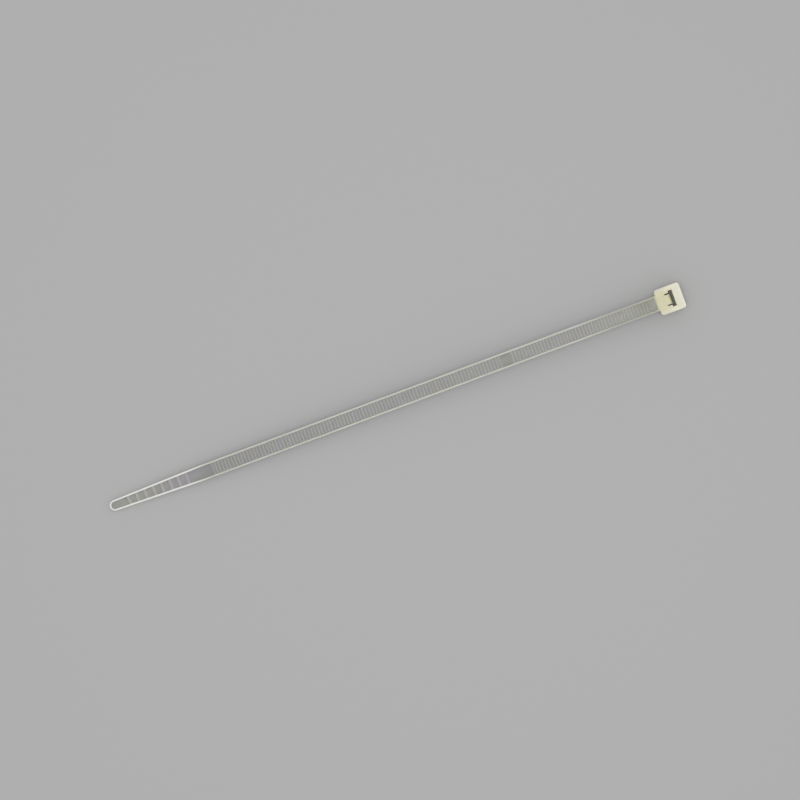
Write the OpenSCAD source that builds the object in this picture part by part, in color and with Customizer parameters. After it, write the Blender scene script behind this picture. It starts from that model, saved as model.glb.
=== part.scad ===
// Cable tie with a ratchet head, one moulding, lying with its toothed face up.
// Sizes are in millimetres. +X runs from the tail tip to the head and +Z is up.
// The origin is the middle of the head's slot, on the head's outer face.
// The strap leaves the head level with its top face and sags until the tail tip
// touches the surface that the head stands on.

/* [Strap] */
// Length over all, from the tail tip to the far end of the head
tie_len = 188; // [150:1:240]
// Width over both rails
strap_w = 4.85; // [4.4:0.05:5.2]
// Thickness at the rails
strap_t = 1.05; // [0.95:0.05:1.25]
// Width of each rail beside the channel
rail_w = 0.55; // [0.45:0.05:0.65]
// Length of plain channel between the last tooth and the head
neck_len = 2; // [1.8:0.1:6]
// Depth of that plain channel below the rails
neck_depth = 0.26; // [0.15:0.01:0.35]
// Length over which its floor rises to the top of the head
neck_ramp = 0.9; // [0.6:0.1:1.4]

/* [Tail] */
// Width just behind the rounded tip
tip_w = 3.35; // [2.8:0.05:3.8]
// Distance from the tip to where the strap has its full width
taper_len = 30; // [26:1:38]
// Number of grip ribs
rib_count = 8; // [4:1:9]
// Distance from the tip to the first grip rib
rib_first = 6.4; // [5:0.1:7.5]
// Distance from one grip rib to the next
rib_pitch = 2.74; // [2.4:0.02:3]
// Length of a grip rib at its foot
rib_foot = 1.3; // [1:0.1:1.6]
// Length of a grip rib at its top
rib_top = 0.56; // [0.3:0.02:0.7]
// Height of a grip rib above the channel's floor
rib_h = 0.24; // [0.15:0.01:0.3]

/* [Teeth] */
// Distance from the tip to the first tooth
teeth_start = 33.3; // [30:0.1:45]
// Distance from one tooth to the next
tooth_pitch = 1.047; // [0.95:0.001:1.15]
// Height of a tooth from root to crest
tooth_h = 0.38; // [0.3:0.01:0.45]
// Depth of the crests below the rails
crest_drop = 0.1; // [0.05:0.01:0.15]
// Distance from the tip to the flat patch in the teeth
patch_at = 128.6; // [80:0.1:135]
// Number of teeth that the flat patch takes the place of
patch_teeth = 3; // [1:1:5]

/* [Head] */
// Length of the head along the strap
head_len = 8.15; // [7.9:0.05:9]
// Width of the head
head_w = 8.3; // [7.8:0.05:9.5]
// Height of the head
head_h = 5.2; // [4.7:0.1:6]
// Radius of its upright corners
corner_r = 0.95; // [0.6:0.05:1.3]
// Radius of its long upper and lower edges
edge_r = 0.35; // [0.2:0.05:0.5]
// Thickness of the wall behind the slot
far_wall = 2.78; // [2.5:0.01:3]
// Thickness of the wall on the strap's side
root_wall = 1.45; // [1.2:0.05:1.6]
// Room left over the strap's thickness in the slot
slot_clear = 0.2; // [0.1:0.05:0.3]
// Room left beside the strap in the slot, each side
side_clear = 0.1; // [0.05:0.05:0.2]
// Lead-in chamfer round the slot's mouth
lead_in = 0.25; // [0.1:0.05:0.35]

/* [Pawl] */
// Number of teeth on the pawl
pawl_teeth = 3; // [2:1:3]
// Room left beside the pawl in the channel, each side
pawl_clear = 0.35; // [0.25:0.05:0.4]
// Width of the slit on each side of the pawl
slit_w = 0.42; // [0.3:0.02:0.5]
// Length of the slit from the slot towards the strap
slit_len = 1.25; // [0.9:0.05:1.35]
// Thickness of the skin that carries the pawl as a hinge
hinge_t = 0.6; // [0.5:0.05:0.7]
// How far the last pawl tooth reaches into the slot
pawl_reach = 0.42; // [0.3:0.01:0.5]
// How much more each pawl tooth reaches than the one above it
pawl_lean = 0.06; // [0.03:0.01:0.08]
// Depth of the pawl's teeth
pawl_tooth_h = 0.3; // [0.2:0.02:0.36]

/* [Hidden] */
$fn = 64;

slot_t = strap_t + slot_clear;
slot_w = strap_w + 2 * side_clear;
channel_w = strap_w - 2 * rail_w;
pawl_w = channel_w - 2 * pawl_clear;
pocket_w = pawl_w + 2 * slit_w;

slot_near = -slot_t / 2;
slot_far = slot_t / 2;
head_end = slot_far + far_wall;
head_root = head_end - head_len;
tip_x = head_end - tie_len;
strap_len = head_root - tip_x;
pocket_x = head_root + root_wall;

// The part of the strap that runs on into the head
strap_root = 0.6;
// Stations along the sag
sag_steps = 30;
// Height that the tail tip comes down
sag_h = head_h - strap_t;

tail_depth = crest_drop + tooth_h;
tooth_count = floor((strap_len - neck_len - teeth_start) / tooth_pitch);
patch_first = round((patch_at - teeth_start) / tooth_pitch);
patch_last = patch_first + patch_teeth - 1;
rib_room = floor((teeth_start - 2 - rib_first) / rib_pitch) + 1;
rib_fit = min(rib_count, rib_room);

// Height of the strap's top face at the distance d from the tail tip
function top_z(d) = head_h - sag_h * pow(max(0, strap_len - d) / strap_len, 2);

// A point of the side outline, at d from the tip and depth below the rails
function side_at(d, depth) = [tip_x + d, top_z(d) - depth];

function station(i) = strap_len * i / sag_steps;

// The strap seen from the side, at the level of its rails
function strap_side() = concat(
    [for (i = [0 : sag_steps]) side_at(station(i), 0)],
    [[head_root + strap_root, head_h], [head_root + strap_root, head_h - strap_t]],
    [for (i = [sag_steps : -1 : 0]) side_at(station(i), strap_t)]
);

// One grip rib on the channel's floor
function rib_side(d) = [
    side_at(d - rib_foot / 2, tail_depth),
    side_at(d - rib_top / 2, tail_depth - rib_h),
    side_at(d + rib_top / 2, tail_depth - rib_h),
    side_at(d + rib_foot / 2, tail_depth)
];

// One ratchet tooth: a slope that rises towards the head, then a steep face
function tooth_side(d) = [
    side_at(d + 0.04 * tooth_pitch, tail_depth),
    side_at(d + 0.82 * tooth_pitch, crest_drop),
    side_at(d + 0.92 * tooth_pitch, crest_drop),
    side_at(d + 0.98 * tooth_pitch, tail_depth)
];

function in_patch(i) = i >= patch_first && i <= patch_last;

// The channel's floor from the tip to the head, with ribs and teeth
function floor_side() = concat(
    [side_at(0, tail_depth)],
    [for (i = [0 : rib_fit - 1]) each rib_side(rib_first + i * rib_pitch)],
    [for (i = [0 : tooth_count - 1])
        each in_patch(i) ? [] : tooth_side(teeth_start + i * tooth_pitch)],
    [side_at(teeth_start + (tooth_count + 0.1) * tooth_pitch, neck_depth)],
    [side_at(strap_len - neck_ramp, neck_depth)],
    [side_at(strap_len, 0)]
);

// Everything above that floor
function channel_side() = concat(
    floor_side(),
    [[head_root, head_h + 2], [tip_x, head_h + 2]]
);

// One tooth of the pawl, from the slope above it to the step under it
function pawl_tooth(i) =
    let (tip = slot_near + pawl_reach - (pawl_teeth - 1 - i) * pawl_lean)
    let (z = head_h - 1.15 - i * tooth_pitch)
    [[tip, z], [tip, z - 0.08], [tip - pawl_tooth_h, z - 0.16]];

// The pawl seen from the side, hanging from the skin at the head's top face
function pawl_side() = concat(
    [[slot_near - 2.1, head_h - hinge_t / 2]],
    [[slot_near - slit_len - 0.3, head_h]],
    [[slot_near - 0.5, head_h]],
    [[slot_near - 0.05, head_h - 0.4]],
    [for (i = [0 : pawl_teeth - 1]) each pawl_tooth(i)],
    [[slot_near - 0.75, head_h - 3.5]],
    [[slot_near - 1.35, head_h - 1.7]],
    [[slot_near - 1.75, head_h - 1]],
    [[slot_near - 2.1, head_h - 0.75]]
);

// Turns a side outline into a bar of width w across the strap
module across(w) {
    rotate([90, 0, 0])
        linear_extrude(height = w, center = true)
            children();
}

// The strap from above, narrowed by inset on every side
module strap_plan(inset) {
    tip_r = tip_w / 2 - inset;
    full = strap_w / 2 - inset;
    tip_c = tip_x + tip_w / 2;
    translate([tip_c, 0])
        circle(r = tip_r);
    polygon([
        [tip_c, -tip_r],
        [tip_x + taper_len, -full],
        [head_root + strap_root, -full],
        [head_root + strap_root, full],
        [tip_x + taper_len, full],
        [tip_c, tip_r]
    ]);
}

module strap_blank() {
    intersection() {
        across(strap_w + 2)
            polygon(strap_side());
        translate([0, 0, -1])
            linear_extrude(height = head_h + 2)
                strap_plan(0);
    }
}

module channel() {
    intersection() {
        across(strap_w + 2)
            polygon(channel_side());
        translate([0, 0, -1])
            linear_extrude(height = head_h + 4)
                strap_plan(rail_w);
    }
}

module strap() {
    difference() {
        strap_blank();
        channel();
    }
}

// A rectangle from corner a to corner b with all four corners rounded
module rounded(a, b, r) {
    translate([a[0] + r, a[1]])
        square([b[0] - a[0] - 2 * r, b[1] - a[1]]);
    translate([a[0], a[1] + r])
        square([b[0] - a[0], b[1] - a[1] - 2 * r]);
    for (x = [a[0] + r, b[0] - r])
        for (y = [a[1] + r, b[1] - r])
            translate([x, y])
                circle(r = r);
}

// The head's block with rounded corners and edges
module head_block() {
    half = head_w / 2;
    intersection() {
        linear_extrude(height = head_h)
            rounded([head_root, -half], [head_end, half], corner_r);
        translate([(head_root + head_end) / 2, 0, 0])
            rotate([90, 0, 90])
                linear_extrude(height = head_len + 2, center = true)
                    rounded([-half, 0], [half, head_h], edge_r);
        across(head_w + 2)
            union() {
                rounded([head_root, 0], [head_end, head_h], edge_r);
                translate([head_root, edge_r])
                    square([head_len / 2, head_h - edge_r]);
            }
    }
}

// The slot that the tail runs through, with its lead-in
module slot() {
    translate([slot_near, -slot_w / 2, -1])
        cube([slot_t, slot_w, head_h + 2]);
    across(slot_w)
        polygon([
            [slot_far - 0.1, head_h - lead_in],
            [slot_far, head_h - lead_in],
            [slot_far + lead_in, head_h],
            [slot_far + lead_in, head_h + 1],
            [slot_far - 0.1, head_h + 1]
        ]);
    for (side = [-1, 1])
        rotate([90, 0, 90])
            linear_extrude(height = slot_t, center = true)
                polygon([
                    [side * (slot_w / 2 - 0.1), head_h - lead_in],
                    [side * slot_w / 2, head_h - lead_in],
                    [side * (slot_w / 2 + lead_in), head_h],
                    [side * (slot_w / 2 + lead_in), head_h + 1],
                    [side * (slot_w / 2 - 0.1), head_h + 1]
                ]);
}

// The pocket behind the slot that the pawl swings back into
module pocket() {
    translate([pocket_x, -pocket_w / 2, -1])
        cube([slot_near - pocket_x + 0.2, pocket_w, head_h - hinge_t + 1]);
    translate([slot_near - slit_len, -pocket_w / 2, head_h / 2])
        cube([slit_len + 0.2, pocket_w, head_h]);
}

module pawl() {
    across(pawl_w)
        polygon(pawl_side());
}

module cable_tie() {
    color([0.88, 0.86, 0.77]) {
        strap();
        difference() {
            head_block();
            slot();
            pocket();
        }
        pawl();
    }
}

cable_tie();
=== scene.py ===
import math

import bmesh
import bpy
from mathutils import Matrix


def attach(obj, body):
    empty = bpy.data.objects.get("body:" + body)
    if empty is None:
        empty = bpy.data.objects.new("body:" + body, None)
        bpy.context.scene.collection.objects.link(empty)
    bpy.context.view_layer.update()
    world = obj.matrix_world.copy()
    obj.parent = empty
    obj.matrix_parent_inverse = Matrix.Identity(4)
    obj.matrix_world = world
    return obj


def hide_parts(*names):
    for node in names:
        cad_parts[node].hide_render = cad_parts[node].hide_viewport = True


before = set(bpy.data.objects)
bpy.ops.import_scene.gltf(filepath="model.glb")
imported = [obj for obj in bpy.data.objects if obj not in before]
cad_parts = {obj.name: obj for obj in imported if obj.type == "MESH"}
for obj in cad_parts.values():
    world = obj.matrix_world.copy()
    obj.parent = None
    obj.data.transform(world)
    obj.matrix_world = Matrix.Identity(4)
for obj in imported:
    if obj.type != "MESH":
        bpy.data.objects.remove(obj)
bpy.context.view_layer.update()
mm = 0.001

# All sizes are in millimetres, the same as in the solids
tie = {"length": 188.0, "headEnd": 3.405, "headLength": 8.15, "headTop": 5.2}
headRoot = tie["headEnd"] - tie["headLength"]
tipX = tie["headEnd"] - tie["length"]
strapLength = headRoot - tipX
slack = 0.01 * mm  # lengths nearer than this count as equal


# Small helpers for node trees

def mathsFor(tree):
    def calc(operation, *values):
        node = tree.nodes.new("ShaderNodeMath")
        node.operation = operation
        for socket, value in zip(node.inputs, values):
            if isinstance(value, (int, float)):
                socket.default_value = value
            else:
                tree.links.new(value, socket)
        return node.outputs[0]
    return calc


def rampFor(tree):
    # value going from low to high gives first to last, eased at both ends
    def ramp(value, low, high, first=0.0, last=1.0):
        node = tree.nodes.new("ShaderNodeMapRange")
        node.interpolation_type = "SMOOTHSTEP"
        for socket, given in zip(node.inputs, (value, low, high, first, last)):
            if isinstance(given, (int, float)):
                socket.default_value = given
            else:
                tree.links.new(given, socket)
        return node.outputs[0]
    return ramp


# Small helpers for meshes

# distances under which points are merged, and the angle from which an edge is sharp
weld = {"strap": 0.0006, "piece": 0.0004, "sliver": 0.0002, "sharpAngle": 32}


def addObject(name, mesh):
    obj = bpy.data.objects.new(name, mesh)
    bpy.context.scene.collection.objects.link(obj)
    return obj


def plainMesh(obj, name):
    # the evaluated object as a plain mesh of its own
    bpy.context.view_layer.update()
    seen = obj.evaluated_get(bpy.context.evaluated_depsgraph_get())
    mesh = bpy.data.meshes.new_from_object(seen)
    mesh.name = name
    return mesh


def applyModifiers(obj):
    mesh = plainMesh(obj, obj.name)
    obj.modifiers.clear()
    old, obj.data = obj.data, mesh
    bpy.data.meshes.remove(old)


def joinRings(name, first, last):
    # a closed solid between two rings of points
    shape = bmesh.new()
    rings = []
    for ring in (first, last):
        rings.append([shape.verts.new([v * mm for v in point]) for point in ring])
    shape.faces.new(rings[0])
    shape.faces.new(rings[1])
    count = len(first)
    for i in range(count):
        j = (i + 1) % count
        shape.faces.new((rings[0][i], rings[0][j], rings[1][j], rings[1][i]))
    bmesh.ops.recalc_face_normals(shape, faces=shape.faces)
    mesh = bpy.data.meshes.new(name)
    shape.to_mesh(mesh)
    shape.free()
    return addObject(name, mesh)


def combine(base, tool, operation):
    modifier = base.modifiers.new(operation, "BOOLEAN")
    modifier.operation = operation
    modifier.solver = "EXACT"
    modifier.object = tool
    applyModifiers(base)
    bpy.data.objects.remove(tool)


def finishMesh(obj, material):
    shape = bmesh.new()
    shape.from_mesh(obj.data)
    bmesh.ops.remove_doubles(shape, verts=shape.verts, dist=weld["piece"] * mm)
    bmesh.ops.dissolve_degenerate(shape, dist=weld["sliver"] * mm, edges=shape.edges)
    bmesh.ops.recalc_face_normals(shape, faces=shape.faces)
    loose = [e for e in shape.edges if not e.is_manifold]
    print("open edges", obj.name, len(loose), "faces", len(shape.faces),
          "volume mm3", round(shape.calc_volume(signed=True) / mm ** 3, 1),
          "top mm", round(max(v.co.z for v in shape.verts) / mm, 4))
    shape.to_mesh(obj.data)
    shape.free()
    obj.data.materials.clear()
    obj.data.materials.append(material)
    for polygon in obj.data.polygons:
        polygon.use_smooth = True
        polygon.material_index = 0
    obj.data.set_sharp_from_angle(angle=math.radians(weld["sharpAngle"]))


def evenShading(obj):
    # broad faces decide the normals, so that flat stays flat beside a rounded edge
    facing = obj.modifiers.new("facing", "WEIGHTED_NORMAL")
    facing.keep_sharp = True
    applyModifiers(obj)


# The strap: one cross-section carried along the sag, with teeth and ribs by rule

strap = {
    "width": 4.85, "thickness": 1.05, "rail": 0.55,
    "tipWidth": 3.35, "taperLength": 30.0, "tipRamp": 0.16,
    "ribFirst": 6.4, "ribPitch": 2.74, "ribCount": 8, "ribHeight": 0.24,
    "ribFlat": 0.22, "ribFoot": 0.7,  # half widths at a rib's top and foot
    "teethStart": 33.3, "toothPitch": 1.047, "toothCount": 138,
    "toothHeight": 0.38, "crestDrop": 0.1,
    "crestAt": 0.82, "dropAt": 0.93,  # shares of the pitch
    "patchFirst": 91, "patchCount": 3,
    "neckDepth": 0.26, "neckRamp": 0.9,
    "lowerRound": 0.16, "upperRound": 0.17, "outerSteps": 3,
    "innerRound": 0.08, "footRound": 0.08, "innerSteps": 2,
    "underFrom": 0.6,  # share of the thickness below which the underside begins
    "intoHead": 0.6, "plugDepth": 0.5,  # the strap's hidden end, shrunk to a point
    # the top sinks a hair as it enters the head, so that no two faces coincide
    "tuckBefore": 0.8, "tuckPast": 0.4, "tuckDepth": 0.03,
}
tailDepth = strap["crestDrop"] + strap["toothHeight"]
sagHeight = tie["headTop"] - strap["thickness"]
tipRound = strap["tipWidth"] / 2
halfWidth = strap["width"] / 2

# stations along the strap: crowded at the tip, then a few for each tooth
stations = {"tip": 40, "tipReach": 2.2, "perTooth": 8, "onSlope": 5, "stepPastCrest": 0.075}


def arc(cx, cz, r, fromAngle, toAngle, steps):
    points = []
    for k in range(steps + 1):
        a = math.radians(fromAngle + (toAngle - fromAngle) * k / steps)
        points.append((cx + r * math.cos(a), cz + r * math.sin(a)))
    return points


def strapSection():
    w, t, rail = halfWidth, strap["thickness"], strap["rail"]
    lower, upper = strap["lowerRound"], strap["upperRound"]
    inner, foot = strap["innerRound"], strap["footRound"]
    outerSteps, innerSteps = strap["outerSteps"], strap["innerSteps"]
    wall = w - rail
    half = arc(w - lower, -t + lower, lower, -90, 0, outerSteps)
    half += arc(w - upper, -upper, upper, 0, 90, outerSteps)
    half += arc(wall + inner, -inner, inner, 90, 180, innerSteps)
    half += arc(wall - foot, -tailDepth + foot, foot, 0, -90, innerSteps)
    other = [(-y, z) for y, z in reversed(half)]
    loop = [(0.0, -t)] + half + [(0.0, -tailDepth)] + other
    return [(y * mm, z * mm) for y, z in loop]


def strapTree(material):
    tree = bpy.data.node_groups.new("strapByRule", "GeometryNodeTree")
    face = tree.interface
    face.new_socket("Section", in_out="INPUT", socket_type="NodeSocketGeometry")
    sizes = {
        "Strap Length": strapLength, "Width": strap["width"], "Thickness": strap["thickness"],
        "Rail Width": strap["rail"], "Tip Width": strap["tipWidth"],
        "Taper Length": strap["taperLength"], "Channel Depth": tailDepth,
        "Rib First": strap["ribFirst"], "Rib Pitch": strap["ribPitch"],
        "Rib Height": strap["ribHeight"], "Teeth Start": strap["teethStart"],
        "Tooth Pitch": strap["toothPitch"], "Tooth Height": strap["toothHeight"],
        "Neck Depth": strap["neckDepth"], "Neck Ramp": strap["neckRamp"],
        "Inner Round": strap["innerRound"], "Top Height": tie["headTop"],
        "Sag": sagHeight, "Tip Place": tipX,
    }
    counts = {
        "Rib Count": strap["ribCount"], "Tooth Count": strap["toothCount"],
        "Patch First": strap["patchFirst"], "Patch Count": strap["patchCount"],
        "Tip Steps": stations["tip"],
    }
    for name in sizes:
        face.new_socket(name, in_out="INPUT", socket_type="NodeSocketFloat")
    for name in counts:
        face.new_socket(name, in_out="INPUT", socket_type="NodeSocketInt")
    face.new_socket("Strap", in_out="OUTPUT", socket_type="NodeSocketGeometry")

    given = tree.nodes.new("NodeGroupInput").outputs
    new, link = tree.nodes.new, tree.links.new
    calc, ramp = mathsFor(tree), rampFor(tree)

    # stations before the first even one crowd towards the tip
    fromTip = calc("SUBTRACT", given["Teeth Start"], stations["tipReach"] * mm)
    before = calc("FLOOR", calc("DIVIDE", fromTip, given["Tooth Pitch"]))
    evenStart = calc("SUBTRACT", given["Teeth Start"],
                     calc("MULTIPLY", before, given["Tooth Pitch"]))
    evenEnd = calc("ADD", given["Strap Length"], strap["intoHead"] * mm)
    evenTeeth = calc("CEIL", calc("DIVIDE", calc("SUBTRACT", evenEnd, evenStart),
                                  given["Tooth Pitch"]))
    perTooth, onSlope = float(stations["perTooth"]), float(stations["onSlope"])
    lastStep = calc("ADD", calc("MULTIPLY", evenTeeth, perTooth),
                    calc("ADD", given["Tip Steps"], 1.0))

    # path and section keep their own numbers as attributes
    line = new("GeometryNodeMeshLine")
    link(calc("ADD", lastStep, 1.0), line.inputs["Count"])
    line.inputs["Offset"].default_value = (mm, 0, 0)
    keepStep = new("GeometryNodeStoreNamedAttribute")
    keepStep.data_type = "FLOAT"
    keepStep.inputs["Name"].default_value = "step"
    link(line.outputs["Mesh"], keepStep.inputs["Geometry"])
    link(new("GeometryNodeInputIndex").outputs[0], keepStep.inputs["Value"])
    keepSection = new("GeometryNodeStoreNamedAttribute")
    keepSection.data_type = "FLOAT_VECTOR"
    keepSection.inputs["Name"].default_value = "section"
    link(given["Section"], keepSection.inputs["Geometry"])
    link(new("GeometryNodeInputPosition").outputs[0], keepSection.inputs["Value"])
    path, profile = new("GeometryNodeMeshToCurve"), new("GeometryNodeMeshToCurve")
    link(keepStep.outputs[0], path.inputs["Mesh"])
    link(keepSection.outputs[0], profile.inputs["Mesh"])
    sweep = new("GeometryNodeCurveToMesh")
    link(path.outputs[0], sweep.inputs["Curve"])
    link(profile.outputs[0], sweep.inputs["Profile Curve"])

    readStep = new("GeometryNodeInputNamedAttribute")
    readStep.data_type = "FLOAT"
    readStep.inputs["Name"].default_value = "step"
    step = readStep.outputs[0]
    readSection = new("GeometryNodeInputNamedAttribute")
    readSection.data_type = "FLOAT_VECTOR"
    readSection.inputs["Name"].default_value = "section"
    split = new("ShaderNodeSeparateXYZ")
    link(readSection.outputs[0], split.inputs[0])
    across, high = split.outputs[0], split.outputs[1]

    # distance from the tip: first the crowded stations, then a few for each tooth
    turn = calc("DIVIDE", calc("MULTIPLY", step, math.pi / 2), given["Tip Steps"])
    nearTip = calc("MULTIPLY", evenStart, calc("SUBTRACT", 1.0, calc("COSINE", turn)))
    evenStep = calc("SUBTRACT", step, given["Tip Steps"])
    nudge = 0.01  # keeps a whole number from being rounded down
    tooth = calc("FLOOR", calc("DIVIDE", calc("ADD", evenStep, nudge), perTooth))
    inTooth = calc("SUBTRACT", evenStep, calc("MULTIPLY", tooth, perTooth))
    upSlope = calc("MULTIPLY", calc("MINIMUM", inTooth, onSlope), strap["crestAt"] / onSlope)
    pastCrest = calc("MAXIMUM", calc("SUBTRACT", inTooth, onSlope), 0.0)
    phase = calc("ADD", upSlope, calc("MULTIPLY", pastCrest, stations["stepPastCrest"]))
    further = calc("ADD", evenStart, calc("MULTIPLY", calc("ADD", tooth, phase),
                                          given["Tooth Pitch"]))
    isEven = calc("GREATER_THAN", evenStep, -0.5)
    isTip = calc("SUBTRACT", 1.0, isEven)
    along = calc("ADD", calc("MULTIPLY", nearTip, isTip), calc("MULTIPLY", further, isEven))

    # ratchet teeth, with a flat patch where some are left out; whole numbers are
    # compared with halves, clear of rounding
    toothNumber = calc("SUBTRACT", tooth, before)
    inTeeth = calc("MULTIPLY", calc("GREATER_THAN", toothNumber, -0.5),
                   calc("LESS_THAN", toothNumber, calc("SUBTRACT", given["Tooth Count"], 0.5)))
    fromPatch = calc("SUBTRACT", toothNumber, given["Patch First"])
    inPatch = calc("MULTIPLY", calc("GREATER_THAN", fromPatch, -0.5),
                   calc("LESS_THAN", fromPatch, calc("SUBTRACT", given["Patch Count"], 0.5)))
    slope = calc("MULTIPLY", calc("MINIMUM", calc("DIVIDE", phase, strap["crestAt"]), 1.0),
                 calc("LESS_THAN", phase, strap["dropAt"]))
    toothRise = calc("MULTIPLY", calc("MULTIPLY", slope, given["Tooth Height"]),
                     calc("MULTIPLY", calc("MULTIPLY", inTeeth, isEven),
                          calc("SUBTRACT", 1.0, inPatch)))

    # grip ribs on the tail
    ribPlace = calc("DIVIDE", calc("SUBTRACT", along, given["Rib First"]), given["Rib Pitch"])
    nearest = calc("ROUND", ribPlace)
    fromRib = calc("MULTIPLY", calc("ABSOLUTE", calc("SUBTRACT", ribPlace, nearest)),
                   given["Rib Pitch"])
    inRibs = calc("MULTIPLY", calc("GREATER_THAN", nearest, -0.5),
                  calc("LESS_THAN", nearest, calc("SUBTRACT", given["Rib Count"], 0.5)))
    ribShape = ramp(fromRib, strap["ribFoot"] * mm, strap["ribFlat"] * mm)
    ribRise = calc("MULTIPLY", calc("MULTIPLY", ribShape, inRibs), given["Rib Height"])

    # depth of the channel's floor below the rails
    teethEnd = calc("ADD", given["Teeth Start"],
                    calc("MULTIPLY", given["Tooth Count"], given["Tooth Pitch"]))
    pastTeeth = calc("GREATER_THAN", along, calc("SUBTRACT", teethEnd, slack))
    plain = calc("ADD", calc("MULTIPLY", given["Channel Depth"],
                             calc("SUBTRACT", 1.0, pastTeeth)),
                 calc("MULTIPLY", given["Neck Depth"], pastTeeth))
    opening = ramp(along, given["Rail Width"],
                   calc("ADD", given["Rail Width"], strap["tipRamp"] * mm))
    closing = ramp(along, calc("SUBTRACT", given["Strap Length"], given["Neck Ramp"]),
                   given["Strap Length"], 1.0, 0.0)
    depth = calc("MULTIPLY", calc("SUBTRACT", plain, calc("ADD", toothRise, ribRise)),
                 calc("MULTIPLY", opening, closing))

    # half widths of the strap and of its channel
    tipR = calc("DIVIDE", given["Tip Width"], 2.0)
    half = calc("DIVIDE", given["Width"], 2.0)
    innerR = calc("SUBTRACT", tipR, given["Rail Width"])
    toTip = calc("MAXIMUM", calc("SUBTRACT", tipR, along), 0.0)

    def roundEnd(radius):
        rest = calc("SUBTRACT", calc("MULTIPLY", radius, radius),
                    calc("MULTIPLY", toTip, toTip))
        return calc("SQRT", calc("MAXIMUM", rest, 0.0))

    taper = calc("DIVIDE", calc("MAXIMUM", calc("SUBTRACT", along, tipR), 0.0),
                 calc("SUBTRACT", given["Taper Length"], tipR))
    widening = calc("MULTIPLY", calc("SUBTRACT", half, tipR), calc("MINIMUM", taper, 1.0))
    outside = calc("ADD", roundEnd(tipR), widening)
    inside = calc("ADD", calc("ADD", roundEnd(innerR), widening),
                  calc("MULTIPLY", given["Inner Round"], opening))

    # place each point of the section
    sideways = calc("ABSOLUTE", across)
    edge = calc("ADD", calc("SUBTRACT", half, given["Rail Width"]), given["Inner Round"])
    isUnder = calc("LESS_THAN", high,
                   calc("MULTIPLY", given["Thickness"], -strap["underFrom"]))
    isInner = calc("MULTIPLY", calc("LESS_THAN", sideways, calc("ADD", edge, slack)),
                   calc("SUBTRACT", 1.0, isUnder))
    isRail = calc("SUBTRACT", calc("SUBTRACT", 1.0, isUnder), isInner)
    underY = calc("MULTIPLY", calc("DIVIDE", sideways, half), outside)
    innerY = calc("MULTIPLY", calc("DIVIDE", sideways, edge), inside)
    railShare = calc("DIVIDE", calc("SUBTRACT", sideways, edge), calc("SUBTRACT", half, edge))
    railY = calc("ADD", inside, calc("MULTIPLY", railShare, calc("SUBTRACT", outside, inside)))
    sideY = calc("ADD", calc("MULTIPLY", underY, isUnder),
                 calc("ADD", calc("MULTIPLY", innerY, isInner),
                      calc("MULTIPLY", railY, isRail)))
    floorZ = calc("MULTIPLY", high, calc("DIVIDE", depth, given["Channel Depth"]))
    sectionZ = calc("ADD", calc("MULTIPLY", floorZ, isInner),
                    calc("MULTIPLY", high, calc("SUBTRACT", 1.0, isInner)))
    left = calc("MAXIMUM", calc("SUBTRACT", given["Strap Length"], along), 0.0)
    share = calc("DIVIDE", left, given["Strap Length"])
    drop = calc("MULTIPLY", given["Sag"], calc("MULTIPLY", share, share))
    tuckShape = ramp(along, calc("SUBTRACT", given["Strap Length"], strap["tuckBefore"] * mm),
                     calc("ADD", given["Strap Length"], strap["tuckPast"] * mm))
    tuck = calc("MULTIPLY", tuckShape, strap["tuckDepth"] * mm)
    top = calc("SUBTRACT", calc("SUBTRACT", given["Top Height"], drop), tuck)

    # the last station shrinks to a point inside the head
    stillOpen = calc("LESS_THAN", step, calc("SUBTRACT", lastStep, 0.5))
    closed = calc("SUBTRACT", 1.0, stillOpen)
    y = calc("MULTIPLY", calc("MULTIPLY", sideY, calc("SIGN", across)), stillOpen)
    z = calc("ADD", top, calc("ADD", calc("MULTIPLY", sectionZ, stillOpen),
                              calc("MULTIPLY", closed, -strap["plugDepth"] * mm)))
    place = new("ShaderNodeCombineXYZ")
    link(calc("ADD", along, given["Tip Place"]), place.inputs[0])
    link(y, place.inputs[1])
    link(z, place.inputs[2])
    move = new("GeometryNodeSetPosition")
    link(sweep.outputs[0], move.inputs["Geometry"])
    link(place.outputs[0], move.inputs["Position"])
    merge = new("GeometryNodeMergeByDistance")
    merge.inputs["Distance"].default_value = weld["strap"] * mm
    link(move.outputs[0], merge.inputs["Geometry"])
    real = new("GeometryNodeRealizeInstances")
    link(merge.outputs[0], real.inputs["Geometry"])
    dress = new("GeometryNodeSetMaterial")
    dress.inputs["Material"].default_value = material
    link(real.outputs[0], dress.inputs["Geometry"])
    link(dress.outputs[0], new("NodeGroupOutput").inputs[0])

    values = {name: value * mm for name, value in sizes.items()}
    values.update(counts)
    return tree, values


def buildStrap(material):
    loop = strapSection()
    mesh = bpy.data.meshes.new("strapSection")
    edges = [(i, (i + 1) % len(loop)) for i in range(len(loop))]
    mesh.from_pydata([(y, z, 0.0) for y, z in loop], edges, [])
    rule = addObject("strapRule", mesh)
    tree, values = strapTree(material)
    modifier = rule.modifiers.new("strapByRule", "NODES")
    modifier.node_group = tree
    for item in tree.interface.items_tree:
        if item.in_out == "INPUT" and item.name in values:
            modifier[item.identifier] = values[item.name]
    strapMesh = plainMesh(rule, "strap")
    for name in ("step", "section"):
        if name in strapMesh.attributes:
            strapMesh.attributes.remove(strapMesh.attributes[name])
    bpy.data.objects.remove(rule)
    return addObject("strap", strapMesh)


# The head, cut from a block to the form that the mould gives it

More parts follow.
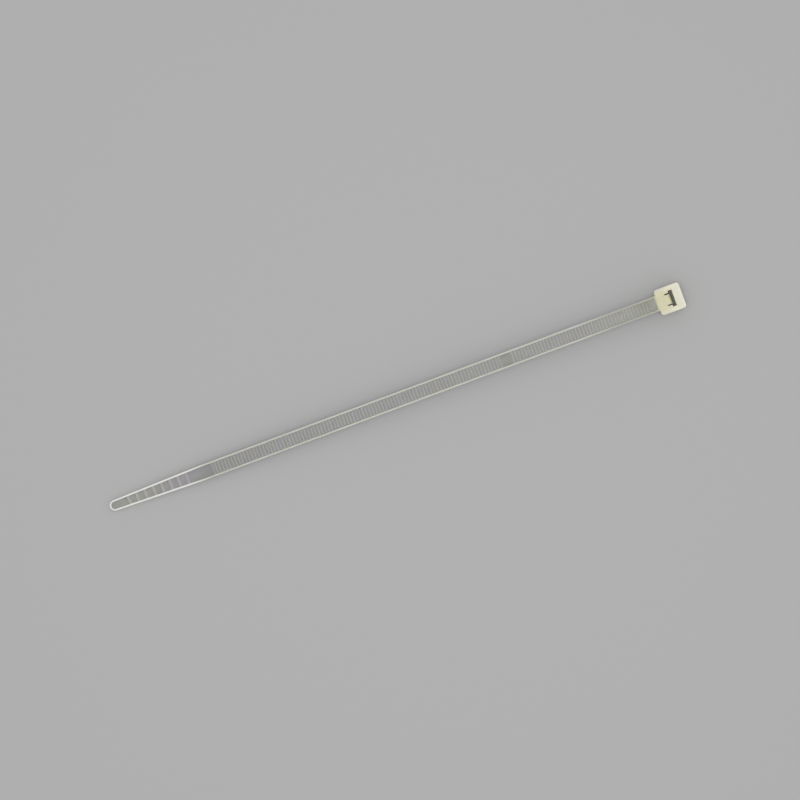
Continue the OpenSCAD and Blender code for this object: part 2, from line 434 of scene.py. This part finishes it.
head = {
    "width": 8.3, "cornerRound": 0.95, "cornerSteps": 8,
    "edgeRound": 0.35, "edgeSteps": 4, "rootEdgeShare": 0.3,
    "rootWall": 1.45,
    "slotThick": 1.25, "slotWide": 5.05, "leadIn": 0.25,
    "hinge": 0.6, "slitLength": 1.25, "slitWide": 0.42,
    "softEdge": 0.05, "softSteps": 2, "softAngle": 38,
    "past": 1.0,  # a cutting shape runs this far past the face that it cuts
    "overlap": 0.2,  # and this far into the next cut
}

# the pawl's points are measured from the slot's near wall and the head's top
pawl = {
    "width": 3.05, "root": -2.1, "behindSlit": 0.1,
    "nose": [(-0.56, 0.0), (-0.36, -0.1), (-0.05, -0.41)],
    "teeth": 3, "pitch": 1.047, "firstTooth": 1.15, "reach": 0.42, "lean": 0.06,
    "toothTip": [(-0.03, 0.05), (0.0, -0.02), (-0.02, -0.09)],
    "toothDepth": 0.3, "toothFoot": 0.16,
    "back": [(-0.35, -3.55), (-0.75, -3.5), (-1.35, -1.7), (-1.75, -1.0), (-2.1, -0.75)],
}


def prism(name, outline, low, high, plane):
    # outline is in XZ and runs across Y, or in XY and runs up Z
    rings = []
    for level in (low, high):
        rings.append([(a, level, b) if plane == "side" else (a, b, level) for a, b in outline])
    return joinRings(name, *rings)


def boxTool(name, x0, x1, halfWide, low, high):
    outline = [(x0, -halfWide), (x1, -halfWide), (x1, halfWide), (x0, halfWide)]
    return prism(name, outline, low, high, "plan")


def headBlock():
    half = head["width"] / 2
    top = tie["headTop"]
    block = boxTool("head", headRoot, tie["headEnd"], half, 0, top)
    shape = bmesh.new()
    shape.from_mesh(block.data)
    upright = [e for e in shape.edges
               if abs(e.verts[0].co.z - e.verts[1].co.z) > mm]
    bmesh.ops.bevel(shape, geom=upright, offset=head["cornerRound"] * mm,
                    segments=head["cornerSteps"], profile=0.5, affect="EDGES")

    # the upper rim is sharper towards the strap, where it is level with the rails
    weight = shape.edges.layers.float.new("bevel_weight_edge")
    for edge in shape.edges:
        low, high = sorted(v.co.z for v in edge.verts)
        if high - low > slack:
            continue
        fromRoot = sum(v.co.x for v in edge.verts) / 2 - headRoot * mm
        share = min(max(fromRoot / (head["cornerRound"] * mm), 0.0), 1.0)
        upper = head["rootEdgeShare"] + (1 - head["rootEdgeShare"]) * share
        edge[weight] = upper if high > mm else 1.0
    shape.to_mesh(block.data)
    shape.free()
    rim = block.modifiers.new("rim", "BEVEL")
    rim.limit_method = "WEIGHT"
    rim.width = head["edgeRound"] * mm
    rim.segments = head["edgeSteps"]
    applyModifiers(block)
    return block


def pawlOutline():
    top, near = tie["headTop"], -head["slotThick"] / 2
    points = [(near + pawl["root"], top - head["hinge"] / 2),
              (near - head["slitLength"] - pawl["behindSlit"], top)]
    points += [(near + x, top + z) for x, z in pawl["nose"]]
    for i in range(pawl["teeth"]):
        tip = near + pawl["reach"] - (pawl["teeth"] - 1 - i) * pawl["lean"]
        level = top - pawl["firstTooth"] - i * pawl["pitch"]
        points += [(tip + x, level + z) for x, z in pawl["toothTip"]]
        points.append((tip - pawl["toothDepth"], level - pawl["toothFoot"]))
    return points + [(near + x, top + z) for x, z in pawl["back"]]


def mouthTool():
    # the lead-in round the slot's mouth, widening at 45 degrees
    top, near, far = tie["headTop"], -head["slotThick"] / 2, head["slotThick"] / 2
    lead, wide = head["leadIn"], head["slotWide"] / 2
    spread = 2 * lead
    low = [(near, -wide), (far, -wide), (far, wide), (near, wide)]
    high = [(near, -wide - spread), (far + spread, -wide - spread),
            (far + spread, wide + spread), (near, wide + spread)]
    return joinRings("mouth", [(x, y, top - lead) for x, y in low],
                     [(x, y, top + lead) for x, y in high])


def buildHead():
    top, near, far = tie["headTop"], -head["slotThick"] / 2, head["slotThick"] / 2
    past, inside = head["past"], near + head["overlap"]
    side = pawl["width"] / 2 + head["slitWide"]
    block = headBlock()
    combine(block, boxTool("passage", near, far, head["slotWide"] / 2, -past, top + past),
            "DIFFERENCE")
    combine(block, mouthTool(), "DIFFERENCE")
    combine(block, boxTool("pocket", headRoot + head["rootWall"], inside, side,
                           -past, top - head["hinge"]), "DIFFERENCE")
    combine(block, boxTool("slit", near - head["slitLength"], inside, side,
                           top / 2, top + past), "DIFFERENCE")
    reach = pawl["width"] / 2
    combine(block, prism("pawl", pawlOutline(), -reach, reach, "side"), "UNION")
    soften = block.modifiers.new("softEdges", "BEVEL")
    soften.limit_method = "ANGLE"
    soften.angle_limit = math.radians(head["softAngle"])
    soften.width = head["softEdge"] * mm
    soften.segments = head["softSteps"]
    soften.use_clamp_overlap = True
    applyModifiers(block)
    for vertex in block.data.vertices:
        vertex.co.z = min(vertex.co.z, top * mm)  # the soft edges stay under the top
    return block


# Natural nylon: cream where it is thick, grey and slightly see-through where it is thin, with
# painted highlights, glow and shade in a few places

nylon = {
    "web": (0.67, 0.673, 0.675), "patch": (0.6, 0.605, 0.59),
    "nearHeadWeb": (0.71, 0.715, 0.695), "neckWeb": (0.667, 0.673, 0.632),
    # the tip's web colour is painted light: lighter near the tip, against the contact shadow under
    # it
    "tipWebPaintedLight": (0.7, 0.697, 0.67), "tailWeb": (0.66, 0.653, 0.67), "plainTail": (0.61, 0.61, 0.61),
    # the tail rim colour is a painted highlight on the tail's rails
    "rail": (0.72, 0.72, 0.69), "neckRail": (0.63, 0.63, 0.6), "tailRim": (0.89, 0.885, 0.855),
    "headRootSide": (0.799, 0.779, 0.645), "headFarSide": (0.825, 0.82, 0.757),
    # the far end's rim colour is a painted highlight along the head's end edge
    # the root half's rim colour is painted shade, darker than the face, against the light the
    # rounded rim catches
    "rootRimPaintedShade": (0.762, 0.748, 0.69), "endPaintedHighlight": (0.85, 0.845, 0.79),
    # the root wall colour is painted shade on the head's top where the strap joins it
    "rootWall": (0.75, 0.752, 0.638),
    # the deep slot colour is painted light: lighter and yellower, for light glowing through the
    # walls
    "slotPaintedGlow": (0.9, 0.885, 0.66),
    "webAlpha": 0.5, "railAlpha": 0.92, "toothShare": 0.3, "ribShare": 0.2, "neckShare": 0.04,
    "solidFrom": 0.1, "solidBy": 0.9,  # shares of the way into the head
    "railSoftness": 0.09, "smoothest": 0.33, "roughSpread": 0.16,
    "mottleShare": 0.12, "streakShare": 0.08,
    "grainSize": 0.3, "grainDepth": 0.02, "grainStrength": 0.25,
    "ior": 1.53, "scatter": 0.85, "scatterTint": (1.0, 0.9, 0.6), "scatterReach": 2.5,
}

# where each shade begins and ends, in millimetres before or past its own place
shade = {
    # the tail rim, tip, side rim, end rim, root wall and slot entries also place painted
    # highlights, light, glow and shade
    "tailEdge": 1.2, "tailRim": 9.0, "neckEdge": 0.1, "crestFoot": 0.5,
    "tip": (5.0, 26.0), "patchEdge": 0.8, "nearHead": (25.0, 9.5), "nearNeck": (8.0, 1.5),
    "head": (1.3, 0.35), "acrossHead": (1.9, 1.9), "sideRim": (1.5, 0.5), "alongRim": 0.6,
    "endHighlight": (1.0, 0.3), "rootWallPast": 0.3, "rootWallSide": (0.4, 0.3),
    "slotDepth": (0.2, 1.4), "slotEdge": (0.1, 0.04),
}

# noise over the moulded faces: scale to the metre, stretch along each axis, detail
noises = {
    "Mottle": (420.0, (0.6, 1.0, 1.0), 3.0),
    "Streaks": (900.0, (0.05, 1.0, 1.0), 2.0),
    "Grain": (None, (1.0, 1.0, 1.0), 2.0),
}


def linear(colour):
    # a display colour as linear light
    out = [c / 12.92 if c <= 0.04045 else ((c + 0.055) / 1.055) ** 2.4 for c in colour]
    return (*out, 1.0)


def thicknessGroup():
    # how thick the moulding is at a point, and where on the tie the point is
    group = bpy.data.node_groups.new("nylonThickness", "ShaderNodeTree")
    face = group.interface
    face.new_socket("Position", in_out="INPUT", socket_type="NodeSocketVector")
    soft = face.new_socket("Softness", in_out="INPUT", socket_type="NodeSocketFloat")
    soft.default_value = nylon["railSoftness"] * mm
    given = group.nodes.new("NodeGroupInput").outputs
    calc, ramp = mathsFor(group), rampFor(group)

    def fade(value, low, high, first=0.0, last=1.0):
        return ramp(value, low * mm, high * mm, first, last)

    split = group.nodes.new("ShaderNodeSeparateXYZ")
    group.links.new(given["Position"], split.inputs[0])
    x, y, z = split.outputs
    fromMiddle, fromSlot = calc("ABSOLUTE", y), calc("ABSOLUTE", x)

    # along and across the strap, and below its top
    along = calc("SUBTRACT", x, tipX * mm)
    toTip = calc("MAXIMUM", calc("SUBTRACT", tipRound * mm, along), 0.0)
    off = calc("SQRT", calc("ADD", calc("MULTIPLY", y, y), calc("MULTIPLY", toTip, toTip)))
    taper = calc("DIVIDE", calc("MAXIMUM", calc("SUBTRACT", along, tipRound * mm), 0.0),
                 (strap["taperLength"] - tipRound) * mm)
    half = calc("ADD", calc("MULTIPLY", calc("MINIMUM", taper, 1.0),
                            (halfWidth - tipRound) * mm), tipRound * mm)
    wall = calc("SUBTRACT", half, strap["rail"] * mm)
    left = calc("MAXIMUM", calc("SUBTRACT", headRoot * mm, x), 0.0)
    share = calc("DIVIDE", left, strapLength * mm)
    top = calc("SUBTRACT", tie["headTop"] * mm,
               calc("MULTIPLY", calc("MULTIPLY", share, share), sagHeight * mm))
    below = calc("SUBTRACT", top, z)

    # places on the strap
    teethStart = strap["teethStart"]
    teethEnd = teethStart + strap["toothCount"] * strap["toothPitch"]
    patchStart = teethStart + strap["patchFirst"] * strap["toothPitch"]
    patchEnd = patchStart + strap["patchCount"] * strap["toothPitch"]
    edge = shade["patchEdge"]
    tail = fade(along, teethStart, teethStart + shade["tailEdge"], 1.0, 0.0)
    neck = fade(along, teethEnd - shade["neckEdge"], teethEnd + shade["neckEdge"])
    pastTail = calc("SUBTRACT", 1.0, calc("MAXIMUM", tail, neck))
    masks = {
        "Rail": ramp(off, calc("SUBTRACT", wall, given["Softness"]),
                     calc("ADD", wall, given["Softness"])),
        "Rib": calc("MULTIPLY", fade(below, tailDepth, tailDepth - strap["ribHeight"]), tail),
        "Crest": calc("MULTIPLY", fade(below, shade["crestFoot"], strap["crestDrop"]), pastTail),
        "Neck": neck,
        "Patch": calc("MULTIPLY", fade(along, patchStart - edge, patchStart + edge),
                      fade(along, patchEnd - edge, patchEnd + edge, 1.0, 0.0)),
        "Tail": tail,
        # where the painted highlight on the tail's rails, and the plain tail's web, give way
        "Tail Rim": fade(along, teethStart - shade["tailRim"], teethStart, 1.0, 0.0),
        # where the painted light on the web near the tip fades out
        "Tip": fade(along, *shade["tip"], 1.0, 0.0),
        "Near Head": fade(along, teethEnd - shade["nearHead"][0], teethEnd - shade["nearHead"][1]),
        "Near Neck": fade(along, teethEnd - shade["nearNeck"][0], teethEnd - shade["nearNeck"][1]),
    }

    # places on the head
    halfHead, headEnd, headTop = head["width"] / 2, tie["headEnd"], tie["headTop"]
    slotX, slotY = head["slotThick"] / 2, head["slotWide"] / 2
    outer, inner = shade["slotEdge"]
    shallow, deep = shade["slotDepth"]
    wide, narrow = shade["rootWallSide"]
    inSlot = calc("MULTIPLY", fade(fromSlot, slotX + outer, slotX + inner),
                  fade(fromMiddle, slotY + outer, slotY + inner))
    masks.update({
        "Head": fade(x, headRoot - shade["head"][0], headRoot + shade["head"][1]),
        "Across Head": fade(x, headRoot + shade["acrossHead"][0], shade["acrossHead"][1]),
        # the side rims, which carry painted shade on the head's root half
        "Side Rim": fade(fromMiddle, halfHead - shade["sideRim"][0],
                         halfHead - shade["sideRim"][1]),
        "Along Rim": fade(x, headRoot, shade["alongRim"]),
        # a painted highlight along the head's far end edge
        "End Rim Highlight": fade(x, headEnd - shade["endHighlight"][0], headEnd - shade["endHighlight"][1]),
        # painted shade over the root wall, as wide as the strap
        "Root Join Shade": calc("MULTIPLY",
                          fade(x, headRoot + head["rootWall"], headRoot - shade["rootWallPast"]),
                          fade(fromMiddle, halfWidth + wide, halfWidth - narrow)),
        # where the painted glow deep in the slot begins
        "Slot Glow": calc("MULTIPLY", fade(z, headTop - shallow, headTop - deep), inSlot),
    })
    for name in masks:
        face.new_socket(name, in_out="OUTPUT", socket_type="NodeSocketFloat")
    result = group.nodes.new("NodeGroupOutput").inputs
    for name, value in masks.items():
        group.links.new(value, result[name])
    return group


def surfaceGroup():
    # the fine grain of a moulded face, with faint flow streaks along the strap
    group = bpy.data.node_groups.new("mouldedSurface", "ShaderNodeTree")
    face = group.interface
    face.new_socket("Position", in_out="INPUT", socket_type="NodeSocketVector")
    grain = face.new_socket("Grain Size", in_out="INPUT", socket_type="NodeSocketFloat")
    grain.default_value = nylon["grainSize"] * mm
    for name in noises:
        face.new_socket(name, in_out="OUTPUT", socket_type="NodeSocketFloat")
    given = group.nodes.new("NodeGroupInput").outputs
    result = group.nodes.new("NodeGroupOutput").inputs
    calc = mathsFor(group)
    for name, (scale, stretch, detail) in noises.items():
        mapping = group.nodes.new("ShaderNodeMapping")
        mapping.inputs["Scale"].default_value = stretch
        group.links.new(given["Position"], mapping.inputs["Vector"])
        noise = group.nodes.new("ShaderNodeTexNoise")
        if scale is None:  # the grain's scale comes from its size
            group.links.new(calc("DIVIDE", 1.0, given["Grain Size"]), noise.inputs["Scale"])
        else:
            noise.inputs["Scale"].default_value = scale
        noise.inputs["Detail"].default_value = detail
        group.links.new(mapping.outputs[0], noise.inputs["Vector"])
        group.links.new(noise.outputs["Fac"], result[name])
    return group


def nylonMaterial():
    material = bpy.data.materials.new("naturalNylon")
    material.use_nodes = True
    tree = material.node_tree
    new, link = tree.nodes.new, tree.links.new
    calc, ramp = mathsFor(tree), rampFor(tree)
    shader = tree.nodes["Principled BSDF"]
    where = new("ShaderNodeTexCoord").outputs["Object"]
    thickness, surface = new("ShaderNodeGroup"), new("ShaderNodeGroup")
    thickness.node_tree, surface.node_tree = thicknessGroup(), surfaceGroup()
    thickness.inputs["Softness"].default_value = nylon["railSoftness"] * mm
    surface.inputs["Grain Size"].default_value = nylon["grainSize"] * mm
    link(where, thickness.inputs["Position"])
    link(where, surface.inputs["Position"])
    at = thickness.outputs

    def blend(share, first, second):
        # a colour is given as the output of a node or by its name among the shades of nylon
        node = new("ShaderNodeMix")
        node.data_type = "RGBA"
        link(share, node.inputs[0])
        for socket, colour in ((node.inputs[6], first), (node.inputs[7], second)):
            if isinstance(colour, str):
                socket.default_value = linear(nylon[colour])
            else:
                link(colour, socket)
        return node.outputs[2]

    thick = at["Rail"]
    for name, share in (("Rib", "ribShare"), ("Crest", "toothShare"), ("Neck", "neckShare")):
        thick = calc("MAXIMUM", thick, calc("MULTIPLY", at[name], nylon[share]))
    bodyRail = blend(at["Near Head"], "rail", "neckRail")
    # a painted highlight on the tail's rails
    railColour = blend(at["Tail Rim"], bodyRail, "tailRim")
    # painted light lifts the web near the tip, against the contact shadow under it
    ribbedTail = blend(at["Tip"], "tailWeb", "tipWebPaintedLight")
    tailColour = blend(at["Tail Rim"], "plainTail", ribbedTail)
    bodyWeb = blend(at["Near Head"], "web", "nearHeadWeb")
    bodyWeb = blend(at["Patch"], bodyWeb, "patch")
    bodyWeb = blend(at["Near Neck"], bodyWeb, "neckWeb")
    webColour = blend(at["Tail"], bodyWeb, tailColour)
    strapColour = blend(thick, webColour, railColour)
    # painted shade on the side rims towards the root, and the far side's own colour beyond
    rimColour = blend(at["Along Rim"], "rootRimPaintedShade", "headFarSide")
    faceColour = blend(at["Across Head"], "headRootSide", "headFarSide")
    # painted shade where the strap joins the head
    faceColour = blend(at["Root Join Shade"], faceColour, "rootWall")
    topColour = blend(at["Side Rim"], faceColour, rimColour)
    # a painted highlight along the head's far end edge
    topColour = blend(at["End Rim Highlight"], topColour, "endPaintedHighlight")
    # painted glow on the slot's deep walls
    headColour = blend(at["Slot Glow"], topColour, "slotPaintedGlow")
    whole = blend(at["Head"], strapColour, headColour)

    # a little unevenness, about the colour as it is written
    mottle, streaks = surface.outputs["Mottle"], surface.outputs["Streaks"]
    uneven = calc("ADD", calc("MULTIPLY", mottle, nylon["mottleShare"]),
                  calc("MULTIPLY", streaks, nylon["streakShare"]))
    level = calc("ADD", uneven, 1.0 - (nylon["mottleShare"] + nylon["streakShare"]) / 2)
    tint = new("ShaderNodeMix")
    tint.data_type = "RGBA"
    tint.blend_type = "MULTIPLY"
    tint.inputs[0].default_value = 1.0
    link(whole, tint.inputs[6])
    grey = new("ShaderNodeCombineColor")
    for socket in grey.inputs[:3]:
        link(level, socket)
    link(grey.outputs[0], tint.inputs[7])
    link(tint.outputs[2], shader.inputs["Base Color"])

    seen = calc("ADD", nylon["webAlpha"],
                calc("MULTIPLY", thick, nylon["railAlpha"] - nylon["webAlpha"]))
    intoSolid = ramp(at["Head"], nylon["solidFrom"], nylon["solidBy"], nylon["webAlpha"], 1.0)
    solid = calc("MAXIMUM", seen, intoSolid)
    link(solid, shader.inputs["Alpha"])
    rough = calc("ADD", nylon["smoothest"], calc("MULTIPLY", mottle, nylon["roughSpread"]))
    link(rough, shader.inputs["Roughness"])
    bump = new("ShaderNodeBump")
    bump.inputs["Strength"].default_value = nylon["grainStrength"]
    bump.inputs["Distance"].default_value = nylon["grainDepth"] * mm
    link(surface.outputs["Grain"], bump.inputs["Height"])
    link(bump.outputs[0], shader.inputs["Normal"])
    shader.inputs["IOR"].default_value = nylon["ior"]
    shader.inputs["Subsurface Weight"].default_value = nylon["scatter"]
    shader.inputs["Subsurface Radius"].default_value = nylon["scatterTint"]
    shader.inputs["Subsurface Scale"].default_value = nylon["scatterReach"] * mm
    return material


# The plain studio

# sizes and places here are in metres, the key lamp's place from above the tie's middle
studio = {
    "floor": (0.67, 0.67, 0.67), "floorSize": 3.0, "floorRoughness": 0.9, "floorSpecular": 0.1,
    "sky": 0.8, "skyColour": (1.0, 1.0, 1.0),
    "key": 1.62, "keyPlace": (0.02, -0.02, 0.75), "keySize": 0.35,
}


def buildStudio():
    shape = bmesh.new()
    bmesh.ops.create_grid(shape, x_segments=1, y_segments=1, size=studio["floorSize"] / 2)
    mesh = bpy.data.meshes.new("floor")
    shape.to_mesh(mesh)
    shape.free()
    floor = addObject("floor", mesh)
    material = bpy.data.materials.new("floorPaper")
    material.use_nodes = True
    paper = material.node_tree.nodes["Principled BSDF"]
    paper.inputs["Base Color"].default_value = linear(studio["floor"])
    paper.inputs["Roughness"].default_value = studio["floorRoughness"]
    paper.inputs["Specular IOR Level"].default_value = studio["floorSpecular"]
    mesh.materials.append(material)

    world = bpy.data.worlds.new("studio")
    world.use_nodes = True
    background = world.node_tree.nodes["Background"]
    background.inputs["Color"].default_value = linear(studio["skyColour"])
    background.inputs["Strength"].default_value = studio["sky"]
    bpy.context.scene.world = world

    light = bpy.data.lights.new("softbox", "AREA")
    light.shape = "SQUARE"
    light.size = studio["keySize"]
    light.energy = studio["key"]
    lamp = bpy.data.objects.new("softbox", light)
    bpy.context.scene.collection.objects.link(lamp)
    middle = (tipX + tie["headEnd"]) / 2 * mm
    x, y, z = studio["keyPlace"]
    lamp.location = (middle + x, y, z)
    aim = lamp.location.copy()
    aim.x -= middle
    lamp.rotation_euler = aim.to_track_quat("Z", "Y").to_euler()


# straight down from afar, with millimetres for the frame's width and the point at its middle
view = {
    "roll": -20.405, "lens": 300.0, "sensor": 36.0, "clipEnd": 20.0,
    "frameWidth": 246.15, "middle": (-89.322, -0.204, 3.0),
}


def buildCamera():
    data = bpy.data.cameras.new("camera")
    data.lens = view["lens"]
    data.sensor_width = view["sensor"]
    data.clip_end = view["clipEnd"]
    camera = bpy.data.objects.new("camera", data)
    bpy.context.scene.collection.objects.link(camera)
    x, y, z = view["middle"]
    distance = view["frameWidth"] * view["lens"] / view["sensor"]
    camera.location = (x * mm, y * mm, (z + distance) * mm)
    camera.rotation_euler = (0.0, 0.0, math.radians(view["roll"]))
    bpy.context.scene.camera = camera


bpy.context.scene.view_settings.view_transform = "Standard"
buildCamera()
print("camera placed")
naturalNylon = nylonMaterial()
print("nylon mixed")
strapPiece = buildStrap(naturalNylon)
finishMesh(strapPiece, naturalNylon)
print("strap moulded")
headPiece = buildHead()
finishMesh(headPiece, naturalNylon)
print("head cut")
combine(strapPiece, headPiece, "UNION")
strapPiece.name = "cableTie"
finishMesh(strapPiece, naturalNylon)
evenShading(strapPiece)
print("head and strap joined")
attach(strapPiece, "root")
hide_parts("cable_tie")
buildStudio()
print("studio lit")
